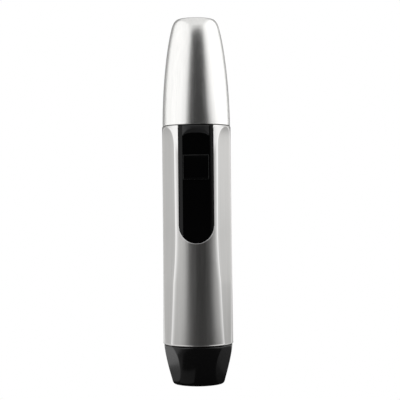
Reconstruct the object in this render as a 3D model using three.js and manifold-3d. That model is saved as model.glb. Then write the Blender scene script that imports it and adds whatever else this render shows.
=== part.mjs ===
// Battery-powered nose hair trimmer: a faceted metal body with a black control panel, a pull-off
// metal cap over the rotary trimming head, and a pull-off base cap that holds the battery in.
// Units are millimetres, +Z is up the long axis, -Y is the front, and the origin is the centre of
// the flat foot that the trimmer stands on.
import * as THREE from "three";
import { mergeVertices } from "three/addons/utils/BufferGeometryUtils.js";
import Module from "manifold-3d";

const wasm = await Module();
wasm.setup();

// ---- Driving dimensions -------------------------------------------------------------------------
const LENGTH = 140; // overall, standing on the base
const BASE_TOP = 15.2; // top edge of the visible base cap
const BODY_BOTTOM = 15.5;
const BODY_TOP = 98.7;
const CAP_BOTTOM = 99;
const BODY_R = 13.2; // round part of the sleeve, upper half
const BODY_R_LOW = 13.42; // and near its foot
const SLEEVE_WALL = 1;
const FACET_ANGLES = [60, 120, 240, 300]; // facet normals, degrees round from the front
const BASE_TOP_R = 13.15;
const FOOT_R = 9.2; // flat that it stands on
const CAP_R = 13; // cap at its mouth
const CAP_WALL = 0.8;
const FRAME_R = 11.05; // inner chassis
const FRAME_BOTTOM = 24;
const FRAME_TOP = 94;
const BATTERY_R = 7.2; // AA cell
const BATTERY_BOTTOM = 9.2;
const BATTERY_BODY = 49.2;
const WINDOW_HALF = 6.7; // control panel window in the sleeve
const WINDOW_BOTTOM = 54;
const RECESS_HALF = 5.1; // flat of the control panel
const RECESS_Y = 12;
const MOTOR_BOTTOM = 66;
const MOTOR_TOP = 88;
const MOTOR_R = 10;
const MOTOR_FLAT = 7.6; // half the can's thickness across its flats
const NECK_R = 11.4;
const NECK_TOP = 105;
const SWITCH_BOTTOM = 78.2; // slider button in its off position
const SWITCH_HEIGHT = 9.3;
const SWITCH_TRAVEL = 5;
const GUARD_R = 3.4;
const GUARD_TOP = 131;
const CUTTER_R = 2.9;
const GAP = 0.1; // between pieces that touch

const MANY = 36; // sides of the big round shells
const SOME = 24;
const FEW = 16;

// ---- Materials ----------------------------------------------------------------------------------
const material = (color, roughness, metalness) =>
  new THREE.MeshStandardMaterial({ color, roughness, metalness });
const BRUSHED = material(0xb9b8b5, 0.32, 1);
const CHROME = material(0xd0d0d2, 0.12, 1);
const STEEL = material(0xa8a9ab, 0.3, 1);
const BLACK_GLOSS = material(0x050505, 0.12, 0);
const BLACK_SATIN = material(0x0d0d0e, 0.4, 0);
const GREY_PLASTIC = material(0x3a3c3f, 0.55, 0);
const WHITE_PLASTIC = material(0xd9d8d2, 0.5, 0);
const RUBBER = material(0x101010, 0.75, 0);
const BRASS = material(0xc9a24c, 0.35, 1);
const BOARD = material(0x1d5a34, 0.5, 0);
const CELL = material(0x5b7d8c, 0.35, 0.6);
const RED_LEAD = material(0xa01818, 0.5, 0);

// ---- Geometry helpers ---------------------------------------------------------------------------
const trimmer = new THREE.Group();

// A three.js geometry as a solid that can be cut and joined.
function solid(geometry) {
  const bare = geometry.clone();
  bare.deleteAttribute("normal");
  bare.deleteAttribute("uv");
  const merged = mergeVertices(bare, 1e-3);
  const made = new wasm.Manifold(
    new wasm.Mesh({
      numProp: 3,
      vertProperties: merged.attributes.position.array,
      triVerts: new Uint32Array(merged.index.array),
    }),
  );
  if (made.volume() > 0) return made;
  const index = merged.index.array;
  for (let i = 0; i < index.length; i += 3) {
    [index[i + 1], index[i + 2]] = [index[i + 2], index[i + 1]];
  }
  return new wasm.Manifold(
    new wasm.Mesh({
      numProp: 3,
      vertProperties: merged.attributes.position.array,
      triVerts: new Uint32Array(index),
    }),
  );
}

function geometryOf(shape) {
  const mesh = shape.getMesh();
  const made = new THREE.BufferGeometry();
  made.setAttribute("position", new THREE.BufferAttribute(mesh.vertProperties, 3));
  made.setIndex(new THREE.BufferAttribute(mesh.triVerts, 1));
  made.computeVertexNormals();
  return made;
}

function add(name, shape, finish) {
  const mesh = new THREE.Mesh(geometryOf(shape), finish);
  mesh.name = name;
  trimmer.add(mesh);
}

// Revolves [radius, height] points round the Z axis. The outline closes on itself or on the axis.
function turned(outline, sides = SOME) {
  const points = outline.map((p) => (p.isVector2 ? p : new THREE.Vector2(...p)));
  const first = points[0];
  const last = points[points.length - 1];
  if (first.x > 0 || last.x > 0) points.push(first.clone());
  return solid(new THREE.LatheGeometry(points, sides).rotateX(Math.PI / 2));
}

const ring = (inner, outer, bottom, top, sides = SOME) =>
  turned([[inner, bottom], [outer, bottom], [outer, top], [inner, top]], sides);

const rod = (radius, bottom, top, sides = FEW) =>
  turned([[0, bottom], [radius, bottom], [radius, top], [0, top]], sides);

// A box by its lowest and highest corners.
function block([x0, y0, z0], [x1, y1, z1]) {
  const made = new THREE.BoxGeometry(x1 - x0, y1 - y0, z1 - z0);
  return solid(made.translate((x0 + x1) / 2, (y0 + y1) / 2, (z0 + z1) / 2));
}

// A cylinder whose axis is parallel to Y.
function rodAlongY(radius, x, z, y0, y1, sides = 16) {
  const made = new THREE.CylinderGeometry(radius, radius, y1 - y0, sides);
  return solid(made.translate(x, (y0 + y1) / 2, z));
}

const torus = (radius, wire, z) =>
  solid(new THREE.TorusGeometry(radius, wire, 6, SOME).translate(0, 0, z));

// Extrudes an outline drawn in X and Z from y0 to y1.
function plate(outline, y0, y1, curveSegments = 8) {
  const made = new THREE.ExtrudeGeometry(outline, {
    depth: y1 - y0,
    bevelEnabled: false,
    curveSegments,
  });
  return solid(made.rotateX(Math.PI / 2).translate(0, y1, 0));
}

// A round tube of the given radius along a curve.
function wire(curve, radius, steps, sides = 8) {
  const section = new THREE.Shape();
  for (let i = 0; i < sides; i++) {
    const angle = (2 * Math.PI * i) / sides;
    const draw = i ? "lineTo" : "moveTo";
    section[draw](radius * Math.cos(angle), radius * Math.sin(angle));
  }
  const made = new THREE.ExtrudeGeometry(section, { steps, extrudePath: curve });
  return solid(made);
}

// A coil of three and a half turns from [radius, height] to [radius, height].
class Coil extends THREE.Curve {
  constructor([startRadius, bottom], [endRadius, top]) {
    super();
    Object.assign(this, { startRadius, bottom, endRadius, top });
  }

  getPoint(t, target = new THREE.Vector3()) {
    const turn = 2 * Math.PI * 3.5 * t;
    const radius = THREE.MathUtils.lerp(this.startRadius, this.endRadius, t);
    const height = THREE.MathUtils.lerp(this.bottom, this.top, t);
    return target.set(radius * Math.cos(turn), radius * Math.sin(turn), height);
  }
}

// A U-shaped outline: straight sides up to `top`, a round bottom, and a top that can be arched.
function uShape(half, bottom, top, arch = 0) {
  const outline = new THREE.Shape();
  outline.moveTo(half, top - arch);
  if (arch) outline.quadraticCurveTo(0, top + arch, -half, top - arch);
  else outline.lineTo(-half, top);
  outline.lineTo(-half, bottom + half);
  outline.absarc(0, bottom + half, half, Math.PI, 2 * Math.PI, false);
  outline.closePath();
  return outline;
}

// Points along a three.js curve in the (radius, height) plane.
const along = (curve, steps) => curve.getPoints(steps);
const v2 = (x, y) => new THREE.Vector2(x, y);

// ---- Facets -------------------------------------------------------------------------------------
// Outline, in (distance from the axis, height), of what a body facet takes off. `inset` moves it in
// for the inner wall of the sleeve.
function bodyFacetOutline(inset) {
  const outer = 20;
  const cut = new THREE.Shape();
  cut.moveTo(outer, BODY_BOTTOM - 2);
  cut.lineTo(13.2 - inset, BODY_BOTTOM - 2);
  cut.lineTo(12.65 - inset, 39.3);
  cut.quadraticCurveTo(12.17 - inset, 49.5, 12.14 - inset, 57);
  cut.lineTo(12.24 - inset, 90);
  cut.quadraticCurveTo(12.25 - inset, 96.5, 13.4 - inset, BODY_TOP);
  cut.lineTo(outer, BODY_TOP);
  cut.closePath();
  return cut;
}

// The base cap's facets are scooped: they deepen downwards and run out above the foot.
function baseFacetOutline(inset) {
  const outer = 20;
  const cut = new THREE.Shape();
  cut.moveTo(outer, -2);
  cut.lineTo(9.75 - inset, -2);
  cut.quadraticCurveTo(9.75 - inset, 6.6, 12.9 - inset, BASE_TOP + 0.1);
  cut.lineTo(outer, BASE_TOP + 0.1);
  cut.closePath();
  return cut;
}

// Takes the four facets off a round solid.
function faceted(shape, outline) {
  let made = shape;
  for (const angle of FACET_ANGLES) {
    const cutter = new THREE.ExtrudeGeometry(outline, {
      depth: 40,
      bevelEnabled: false,
      curveSegments: 5,
    });
    // The outline's X runs out along the facet's normal and its Y up the trimmer.
    cutter.rotateX(Math.PI / 2).translate(0, 20, 0);
    cutter.rotateZ(THREE.MathUtils.degToRad(angle - 90));
    made = made.subtract(solid(cutter));
  }
  return made;
}

// ---- Cap ----------------------------------------------------------------------------------------
function capOutline(wall, bottom) {
  const side = new THREE.CubicBezierCurve(
    v2(CAP_R - wall, bottom),
    v2(12.93 - wall, 112),
    v2(11.5 - wall, 127.5),
    v2(9.3 - wall, 136 - wall),
  );
  const crown = new THREE.QuadraticBezierCurve(
    v2(9.3 - wall, 136 - wall),
    v2(8.35 - wall, LENGTH - wall),
    v2(6.4 - wall, LENGTH - wall),
  );
  return [...along(side, 7), ...along(crown, 3).slice(1)];
}

function addCap() {
  const outer = turned([[0, CAP_BOTTOM], ...capOutline(0, CAP_BOTTOM), [0, LENGTH]], MANY);
  const inner = turned(
    [
      [0, CAP_BOTTOM - 1],
      [CAP_R - CAP_WALL, CAP_BOTTOM - 1],
      ...capOutline(CAP_WALL, CAP_BOTTOM),
      [0, LENGTH - CAP_WALL],
    ],
    MANY,
  );
  add("cap_shell", outer.subtract(inner), BRUSHED);

  // The liner grips the neck's seal ring, and thins out above the neck.
  const bore = NECK_R + 0.15;
  const liner = turned(
    [
      [bore, CAP_BOTTOM + 0.2],
      [12.15, CAP_BOTTOM + 0.2],
      [11.95, 106],
      [11.3, 116],
      [10.8, 116],
      [11.3, 107],
      [bore, 105.6],
    ],
    MANY,
  );
  add("cap_liner", liner, GREY_PLASTIC);
}

// ---- Sleeve, control panel and switch -----------------------------------------------------------
function addSleeve() {
  const skin = (inset) => [
    [0, BODY_BOTTOM - inset * 2],
    [BODY_R_LOW - 0.15 - inset, BODY_BOTTOM - inset * 2],
    [BODY_R_LOW - inset, BODY_BOTTOM + 1.2],
    [BODY_R_LOW - inset, 22],
    [BODY_R - inset, 55],
    [BODY_R - inset, BODY_TOP - 0.4],
    [BODY_R - 0.15 - inset, BODY_TOP + inset * 2],
    [0, BODY_TOP + inset * 2],
  ];
  const outer = faceted(turned(skin(0), MANY), bodyFacetOutline(0));
  const inner = faceted(turned(skin(SLEEVE_WALL), MANY), bodyFacetOutline(SLEEVE_WALL));
  const opening = plate(uShape(WINDOW_HALF, WINDOW_BOTTOM, BODY_TOP + 2), -16, -9);
  add("body_sleeve", outer.subtract(inner).subtract(opening), BRUSHED);
}

function addControlPanel() {
  const top = BODY_TOP - GAP;
  const face = ring(11.2, BODY_R - 0.2, WINDOW_BOTTOM - 3, top, 60).intersect(
    plate(uShape(WINDOW_HALF - 0.15, WINDOW_BOTTOM + 0.15, top), -16, -9),
  );
  const flange = ring(11.2, 12.05, WINDOW_BOTTOM - 3, top, 60).intersect(
    plate(uShape(7.4, WINDOW_BOTTOM - 1.6, top), -16, -8),
  );
  // The flat in the face runs out under the sleeve at the bottom, and slopes out in an arch at the top.
  const recess = plate(uShape(RECESS_HALF, WINDOW_BOTTOM - 8, 95.8, 1.5), -16, -RECESS_Y);
  const slope = plate(uShape(RECESS_HALF, WINDOW_BOTTOM - 8, 96.9, 1.5), -16, -RECESS_Y - 0.5);
  const low = SWITCH_BOTTOM;
  const slot = block([-1.9, -16, low + 0.4], [1.9, -8, low + 3.4 + SWITCH_TRAVEL]);
  const forkWell = block([-3.6, -11.1, low - 1.4], [3.6, -8, low + 5.4 + SWITCH_TRAVEL]);
  const cuts = [recess, slope, slot, forkWell];
  const panel = cuts.reduce((left, cut) => left.subtract(cut), face.add(flange));
  add("control_panel", panel, BLACK_GLOSS);
}

function addSwitch() {
  const half = RECESS_HALF - 0.25;
  const low = SWITCH_BOTTOM;
  const high = SWITCH_BOTTOM + SWITCH_HEIGHT;
  // A shallow finger dish between two raised lips, and a stem through the panel's slot. The slot is
  // hidden behind the button when it is down.
  const button = block([-half, -12.6, low], [half, -RECESS_Y - GAP, high])
    .add(block([-half, -12.78, low], [half, -12.5, low + 0.8]))
    .add(block([-half, -12.78, high - 0.8], [half, -12.5, high]))
    .add(block([-1.6, -12.2, low + 0.7], [1.6, -10.95, low + 3.1]));
  add("slider_button", button, BLACK_GLOSS);

  const fork = block([-3.2, -10.85, low - 1], [3.2, -10.45, low + 5]).subtract(
    block([-0.9, -12, low + 0.8], [0.9, -10, low + 3]),
  );
  add("slider_fork", fork, WHITE_PLASTIC);

  add("switch_housing", block([-4, -10.3, 76], [4, -8.75, 90]), STEEL);
  add("circuit_board", block([-6.5, -8.7, 70.5], [6.5, -7.95, 93]), BOARD);
}

// ---- Chassis ------------------------------------------------------------------------------------
const SCREW_X = 8.85;
const SCREW_HEIGHTS = [27.5, 57];

// The motor's round can with two flats, grown by `room` for the bay that holds it.
const motorShape = (room, bottom, top) =>
  rod(MOTOR_R + room, bottom, top, SOME).intersect(
    block([-20, -MOTOR_FLAT - room, bottom - 1], [20, MOTOR_FLAT + room, top + 1]),
  );

function addChassis() {
  const web = 9.1; // radius between the ribs
  let frame = turned(
    [
      [0, FRAME_BOTTOM],
      [FRAME_R, FRAME_BOTTOM],
      [FRAME_R, 31],
      [web, 31.5],
      [web, 40.5],
      [FRAME_R, 41],
      [FRAME_R, 44],
      [web, 44.5],
      [web, 52.5],
      [FRAME_R, 53],
      [FRAME_R, FRAME_TOP],
      [0, FRAME_TOP],
    ],
    SOME,
  );
  const cuts = [
    rod(BATTERY_R + 0.45, FRAME_BOTTOM - 1, 60.9, SOME),
    motorShape(0.25, 62.4, 90),
    rod(3.4, 89, 93, FEW), // motor nose
    rod(8, 92, FRAME_TOP + 1, SOME),
    block([-7.2, -20, 62.6], [7.2, -7.5, FRAME_TOP + 1]), // switch opening
    block([-1.9, -9.4, 59.5], [1.9, -7, 70]), // positive strip
    block([-2.4, 7, FRAME_BOTTOM - 1], [2.4, 9, 67]), // negative strip
  ];
  for (const z of SCREW_HEIGHTS) {
    for (const x of [-SCREW_X, SCREW_X]) {
      cuts.push(rodAlongY(0.95, x, z, -7, 4.2, 12));
      cuts.push(rodAlongY(1.6, x, z, -9, -3.1, 12));
    }
  }
  for (const cut of cuts) frame = frame.subtract(cut);
  const front = block([-20, -20, 0], [20, -0.05, LENGTH]);
  const rear = block([-20, 0.05, 0], [20, 20, LENGTH]);
  add("chassis_front", frame.intersect(front), GREY_PLASTIC);
  add("chassis_rear", frame.intersect(rear), GREY_PLASTIC);

  let count = 0;
  for (const z of SCREW_HEIGHTS) {
    for (const x of [-SCREW_X, SCREW_X]) {
      count += 1;
      const head = rodAlongY(1.4, x, z, -4.2, -3.2, 12);
      const recess = block([x - 0.25, -6, z - 0.9], [x + 0.25, -3.8, z + 0.9]);
      const shank = rodAlongY(0.8, x, z, -3.4, 4, 12);
      add(`chassis_screw_${count}`, head.add(shank).subtract(recess), STEEL);
    }
  }
}

// ---- Battery and contacts -----------------------------------------------------------------------
function addBattery() {
  const can = BATTERY_BOTTOM + BATTERY_BODY;
  const body = turned(
    [
      [0, BATTERY_BOTTOM],
      [BATTERY_R - 0.5, BATTERY_BOTTOM],
      [BATTERY_R, BATTERY_BOTTOM + 0.6],
      [BATTERY_R, can - 0.6],
      [BATTERY_R - 0.5, can],
      [0, can],
    ],
    SOME,
  );
  add("battery_can", body, CELL);
  add("battery_terminal", rod(2.75, can + 0.05, can + 1.35), STEEL);
}

function addContacts() {
  // The positive contact is bent up at the front to reach the circuit board.
  const disc = rod(5, 60.1, 60.5);
  const bridge = block([-1.5, -8.6, 60.1], [1.5, -4, 60.5]);
  const strip = block([-1.5, -8.6, 60.1], [1.5, -8.2, 69.6]);
  add("positive_contact", disc.add(bridge).add(strip), BRASS);

  add("negative_strip", block([-1.8, 7.8, 19.5], [1.8, 8.15, 62.9]), BRASS);

  // The base contact's tail slides up outside the negative strip when the base goes on.
  const seat = rod(6.6, 3, 3.5, SOME);
  const arm = block([-1.7, 3, 3], [1.7, 8.75, 3.5]);
  const tail = block([-1.7, 8.35, 3], [1.7, 8.75, 23]);
  add("base_contact", seat.add(arm).add(tail), BRASS);

  // Tapered spring under the battery.
  add("battery_spring", wire(new Coil([4.6, 4], [3, 8.6]), 0.38, 42, 6), STEEL);
}

// ---- Motor and drive ----------------------------------------------------------------------------
function addMotor() {
  const can = motorShape(0, MOTOR_BOTTOM, MOTOR_TOP);
  const nose = rod(3, MOTOR_TOP - 0.5, MOTOR_TOP + 3.6);
  const bore = rod(1.2, MOTOR_BOTTOM - 1, MOTOR_TOP + 5, 16);
  add("motor_can", can.add(nose).subtract(bore), STEEL);

  const cap = motorShape(-0.1, 62.7, MOTOR_BOTTOM - GAP);
  add("motor_end_cap", cap.subtract(rod(1.2, 60, 70, 16)), WHITE_PLASTIC);
  add("motor_tab_positive", block([3.6, -8, 63.2], [5.2, -7.65, 66.2]), BRASS);
  add("motor_tab_negative", block([-0.8, 7.65, 63.2], [0.8, 8, 66.2]), BRASS);
  add("motor_cushion", ring(3.6, 7.2, MOTOR_TOP + 0.15, 89.8, FEW), RUBBER);

  // The lead from the circuit board down to the motor's positive tab.
  const points = [
    [4.4, -9.15, 72.5],
    [4.4, -9.35, 70],
    [4.4, -9.2, 67.5],
    [4.4, -8.5, 65.6],
    [4.4, -8.5, 64.2],
  ];
  const path = new THREE.CatmullRomCurve3(points.map((p) => new THREE.Vector3(...p)));
  add("motor_lead", wire(path, 0.42, 10), RED_LEAD);
}

function addRotor() {
  add("motor_shaft", rod(1, 63.2, 97, 16), STEEL);

  // The coupling's square socket lets the cutter's square key slide out upwards.
  const bore = rod(1.1, 92, 97.2, 16);
  const socket = block([-1.25, -1.25, 97.6], [1.25, 1.25, 103]);
  const coupling = rod(2.4, 93.2, 101.2).subtract(bore).subtract(socket);
  add("drive_coupling", coupling, WHITE_PLASTIC);

  const key = block([-1.05, -1.05, 98], [1.05, 1.05, 102]);
  const stem = rod(1.5, 101.7, 127.4).add(rod(2.6, 106.2, 107.2)).add(key);
  add("cutter_stem", stem, WHITE_PLASTIC);

  add("cutter_spring", wire(new Coil([2.05, 101.6], [2.05, 105.8]), 0.25, 42, 5), STEEL);

  // Inner cutter: a thin cup whose crown is slit into four blades.
  const top = GUARD_TOP - 0.7;
  let cutter = turned(
    [
      [1.7, 119],
      [CUTTER_R, 119],
      [CUTTER_R, top - 0.8],
      [CUTTER_R - 0.9, top],
      [0.6, top],
      [0.6, 127.9],
      [1.7, 127.9],
    ],
    SOME,
  );
  for (const angle of [0, 90]) {
    const slit = new THREE.BoxGeometry(1.7, 8, 5).translate(0, 0, top);
    slit.rotateZ(THREE.MathUtils.degToRad(angle + 45));
    cutter = cutter.subtract(solid(slit));
  }
  add("inner_cutter", cutter, STEEL);
}

// ---- Neck and trimming head ---------------------------------------------------------------------
const GROOVE_BOTTOM = 100.9;
const GROOVE_TOP = 102.9;

function addNeck() {
  let neck = turned(
    [
      [3.1, FRAME_TOP + 0.3],
      [FRAME_R, FRAME_TOP + 0.3],
      [FRAME_R, BODY_TOP + 0.1],
      [NECK_R, BODY_TOP + 0.1],
      [NECK_R, 101.9],
      [NECK_R - 1, 102.1],
      [NECK_R - 1, 103.5],
      [NECK_R, 103.7],
      [NECK_R, NECK_TOP - 0.4],
      [NECK_R - 0.4, NECK_TOP],
      [8.05, NECK_TOP],
      [8.05, GROOVE_TOP],
      [9.2, GROOVE_TOP],
      [9.2, GROOVE_BOTTOM],
      [8.05, GROOVE_BOTTOM],
      [8.05, 100.1],
      [4.7, 100.1],
      [4.7, 98.8],
      [3.1, 98.8],
    ],
    MANY,
  );
  // Entry slots for the head's lugs, 30 degrees round from the locked position.
  for (const angle of [30, 210]) {
    const entry = new THREE.BoxGeometry(2.6, 4.6, 3).translate(7.9, 0, 104);
    entry.rotateZ(THREE.MathUtils.degToRad(angle));
    neck = neck.subtract(solid(entry));
  }
  // Room for the circuit board behind the panel.
  neck = neck.subtract(block([-7.4, -14, 90], [7.4, -7.8, 95]));
  add("neck_ring", neck, BLACK_SATIN);
  add("neck_seal", torus(10.95, 0.45, 102.8), RUBBER);
  add("shaft_seal", ring(2.6, 4.6, 98.95, 100), RUBBER);
}

function addHead() {
  // Collar: a bayonet skirt below, and a concave cone up to the guard tube.
  const cone = new THREE.QuadraticBezierCurve(v2(10.3, 106.6), v2(6.2, 108.5), v2(4.5, 119));
  let collar = turned(
    [
      [6.9, 100.6],
      [7.85, 100.6],
      [7.85, 105.25],
      [10.6, 105.25],
      [10.6, 106.2],
      ...along(cone, 7),
      [GUARD_R + 0.1, 119],
      [GUARD_R + 0.1, 112],
      [6.9, 107.6],
    ],
    MANY,
  );
  for (const angle of [0, 180]) {
    const lug = new THREE.BoxGeometry(1.4, 3.6, 1.4).translate(8.15, 0, 101.9);
    lug.rotateZ(THREE.MathUtils.degToRad(angle));
    collar = collar.add(solid(lug));
  }
  add("head_collar", collar, CHROME);

  // Guard tube: eight comb slots over its crown let hair in to the cutter.
  let guard = turned(
    [
      [3.05, 113.2],
      [GUARD_R, 113.2],
      [GUARD_R, GUARD_TOP - 1.2],
      [GUARD_R - 1.1, GUARD_TOP],
      [0.7, GUARD_TOP],
      [0.7, GUARD_TOP - 0.45],
      [GUARD_R - 1.25, GUARD_TOP - 0.45],
      [3.05, GUARD_TOP - 1.3],
    ],
    SOME,
  );
  for (let i = 0; i < 4; i++) {
    const slot = new THREE.BoxGeometry(0.65, 12, 5.6).translate(0, 0, GUARD_TOP - 1.6);
    slot.rotateZ((Math.PI * (i + 0.5)) / 4);
    guard = guard.subtract(solid(slot).subtract(rod(1.5, 120, 140)));
  }
  add("guard_tube", guard, STEEL);
}

// ---- Base cap -----------------------------------------------------------------------------------
const SPIGOT_TOP = 22.5;

function addBase() {
  const side = (inset) =>
    along(
      new THREE.QuadraticBezierCurve(
        v2(10.2 - inset, 1.5),
        v2(12.86 - inset, 10.7),
        v2(BASE_TOP_R - inset, BASE_TOP),
      ),
      7,
    );
  const heel = along(new THREE.QuadraticBezierCurve(v2(FOOT_R, 0), v2(9.95, 0.1), v2(10.2, 1.5)), 3);
  const shell = faceted(
    turned([[0, 0], ...heel, ...side(0).slice(1), [0, BASE_TOP]], MANY),
    baseFacetOutline(0),
  );
  const spigot = turned(
    [
      [0, 10],
      [11.85, 10],
      [11.85, 17],
      [10.95, 17.2],
      [10.95, 18.5],
      [11.85, 18.7],
      [11.85, SPIGOT_TOP - 0.5],
      [11.4, SPIGOT_TOP],
      [0, SPIGOT_TOP],
    ],
    MANY,
  );
  const cavity = turned(
    [
      [0, 2.6],
      [9.05, 2.6],
      [9.9, 8],
      [10.2, 12],
      [10.2, SPIGOT_TOP + 1],
      [0, SPIGOT_TOP + 1],
    ],
    SOME,
  );
  add("base_cap", shell.add(spigot).subtract(cavity), BLACK_GLOSS);
  add("base_seal", torus(11.5, 0.45, 17.85), RUBBER);
}

addCap();
addSleeve();
addControlPanel();
addSwitch();
addChassis();
addBattery();
addContacts();
addMotor();
addRotor();
addNeck();
addHead();
addBase();

export default trimmer;
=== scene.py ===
"""Looks for the nose hair trimmer: faceted brushed sleeve, bullet cap, black panel and base.

The trimmer's lengths are millimetres in the row frame, and become metres when a mesh is made.
The stage and the camera are in metres. Angles round the trimmer are measured from the front,
which is -Y, towards +X.
"""

import math

import bmesh
import bpy
from mathutils import Matrix, Vector


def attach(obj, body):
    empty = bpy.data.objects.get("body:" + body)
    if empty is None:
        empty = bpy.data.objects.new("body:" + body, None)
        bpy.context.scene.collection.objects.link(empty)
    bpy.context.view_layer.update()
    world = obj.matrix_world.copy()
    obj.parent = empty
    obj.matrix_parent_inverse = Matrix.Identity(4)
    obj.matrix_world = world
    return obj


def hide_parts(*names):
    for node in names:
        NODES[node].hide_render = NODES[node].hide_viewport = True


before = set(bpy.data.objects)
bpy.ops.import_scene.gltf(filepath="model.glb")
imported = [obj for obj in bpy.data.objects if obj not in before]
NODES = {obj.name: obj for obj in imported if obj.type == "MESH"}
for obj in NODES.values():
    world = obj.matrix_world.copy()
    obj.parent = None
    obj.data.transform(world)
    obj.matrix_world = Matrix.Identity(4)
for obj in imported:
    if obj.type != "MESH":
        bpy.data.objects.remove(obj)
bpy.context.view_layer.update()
MM = 0.001

# ---- Dimensions that the CAD has too ----------------------------------------------------------------
LENGTH = 140.0
BASE_TOP = 15.2
BODY_BOTTOM = 15.5
BODY_TOP = 98.7
SLEEVE_R = 13.2
SLEEVE_FOOT_R = 13.42
SLEEVE_FOOT_TOP = 22.0
SLEEVE_WALL = 1.0
CAP_BOTTOM = 99.0
CAP_R = 13.0
CAP_WALL = 0.8
WINDOW_HALF = 6.7
WINDOW_BOTTOM = 54.0
WINDOW_CENTRE = WINDOW_BOTTOM + WINDOW_HALF
PANEL_R = 13.0
RECESS_HALF = 5.1
RECESS_DEPTH = 12.0
SLIDER_BOTTOM = 78.2
SLIDER_TOP = 87.5
SLIDER_BACK = 12.1
FACET_NORMALS = (60.0, 120.0, 240.0, 300.0)


# ---- Curves -----------------------------------------------------------------------------------------
def lerp(a, b, t):
    return a + (b - a) * t


def bezier(points, t):
    """A point on a Bezier curve of any order, by repeated interpolation."""
    while len(points) > 1:
        points = [
            tuple(lerp(a, b, t) for a, b in zip(p, q)) for p, q in zip(points, points[1:])
        ]
    return points[0]


def curve(points, steps):
    return [bezier(points, i / steps) for i in range(steps + 1)]


def radius_at(z, table):
    """Reads a (radius, height) polyline at a height."""
    if z <= table[0][1]:
        return table[0][0]
    for (r0, z0), (r1, z1) in zip(table, table[1:]):
        if z <= z1:
            return lerp(r0, r1, (z - z0) / (z1 - z0))
    return table[-1][0]


def soft_min(a, b, width):
    """The smaller of two radii, with the corner where they cross rounded off."""
    blend = max(width - abs(a - b), 0.0) / width
    return min(a, b) - blend * blend * width / 4


FILLET_SHARE = 0.48
FILLET_STEPS = 4


def filleted(outline, closed=False):
    """Rounds the corners of (radius, height, fillet) points into short arcs, each of which takes
    up less than half of the lines it joins."""
    made = []
    count = len(outline)
    for i, (r, z, fillet) in enumerate(outline):
        ends = not closed and i in (0, count - 1)
        if ends or not fillet:
            made.append((r, z))
            continue
        here = Vector((r, z))
        before = Vector(outline[i - 1][:2]) - here
        after = Vector(outline[(i + 1) % count][:2]) - here
        reach = min(fillet, before.length * FILLET_SHARE, after.length * FILLET_SHARE)
        start = here + before.normalized() * reach
        stop = here + after.normalized() * reach
        made += curve([tuple(start), (r, z), tuple(stop)], FILLET_STEPS)
    return made


# ---- Meshes -----------------------------------------------------------------------------------------
# In metres: points nearer than the first are merged, and edges shorter than the second removed.
SAME_POINT = 2e-6
NO_LENGTH = 1e-7


def piece(name, points, faces, body, material, replaces=()):
    """A smooth-shaded object from points in millimetres, riding on a CAD body."""
    mesh = bpy.data.meshes.new(name)
    mesh.from_pydata([tuple(c * MM for c in p) for p in points], [], faces)
    work = bmesh.new()
    work.from_mesh(mesh)
    bmesh.ops.remove_doubles(work, verts=work.verts, dist=SAME_POINT)
    bmesh.ops.dissolve_degenerate(work, edges=work.edges, dist=NO_LENGTH)
    bmesh.ops.recalc_face_normals(work, faces=work.faces)
    work.to_mesh(mesh)
    work.free()
    mesh.shade_smooth()
    made = bpy.data.objects.new(name, mesh)
    bpy.context.scene.collection.objects.link(made)
    made.data.materials.append(material)
    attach(made, body)
    if replaces:
        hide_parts(*replaces)
    return made


def grid(rows, wrap=False):
    """Points and quads of a grid. A wrapped grid joins the last column to the first."""
    width = len(rows[0])
    points = [p for row in rows for p in row]
    faces = []
    for i in range(len(rows) - 1):
        for j in range(width if wrap else width - 1):
            k = (j + 1) % width
            faces.append((i * width + j, i * width + k, (i + 1) * width + k, (i + 1) * width + j))
    return points, faces


def joined(parts):
    points, faces = [], []
    for more_points, more_faces in parts:
        start = len(points)
        points += more_points
        faces += [tuple(i + start for i in face) for face in more_faces]
    return points, faces


def polar(radius, angle, z):
    return (radius * math.sin(angle), -radius * math.cos(angle), z)


def turned(name, outline, body, material, replaces, sides=128, closed=True):
    """Revolves a (radius, height) outline. A closed outline makes a ring."""
    rows = [[polar(r, 2 * math.pi * j / sides, z) for j in range(sides)] for r, z in outline]
    if closed:
        rows.append(rows[0])
    points, faces = grid(rows, wrap=True)
    return piece(name, points, faces, body, material, replaces)


def tube(name, path, radius, body, material, replaces=(), sides=10, loop=False):
    """A round wire along a list of points, with flat ends unless it is a loop."""
    path = [Vector(p) for p in path]
    count = len(path)
    rows = []
    up = Vector((0, 0, 1))
    turns = [2 * math.pi * j / sides for j in range(sides)]
    for i, p in enumerate(path):
        ahead = path[(i + 1) % count] if loop or i < count - 1 else p
        behind = path[i - 1] if loop or i else p
        along = (ahead - behind).normalized()
        side = along.cross(up).normalized()
        rise = side.cross(along)
        rows.append([tuple(p + side * radius * math.cos(a) + rise * radius * math.sin(a)) for a in turns])
    if loop:
        rows.append(rows[0])
    points, faces = grid(rows, wrap=True)
    if not loop:
        faces.append(tuple(range(sides)))
        faces.append(tuple(range(len(points) - sides, len(points))))
    return piece(name, points, faces, body, material, replaces)


def shell(made, thickness):
    """Gives an open skin its wall, inwards."""
    wall = made.modifiers.new("wall", "SOLIDIFY")
    wall.thickness = thickness * MM
    wall.offset = -1


def rounded(made, width, angle=40):
    """Rounds the sharp edges, and keeps the flats between them flat."""
    weld = made.modifiers.new("weld", "WELD")
    weld.merge_threshold = 0.002 * MM
    bevel = made.modifiers.new("rounded", "BEVEL")
    bevel.width = width * MM
    bevel.segments = 2
    bevel.limit_method = "ANGLE"
    bevel.angle_limit = math.radians(angle)
    bevel.use_clamp_overlap = True
    normals = made.modifiers.new("flats", "WEIGHTED_NORMAL")
    normals.keep_sharp = True


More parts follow.
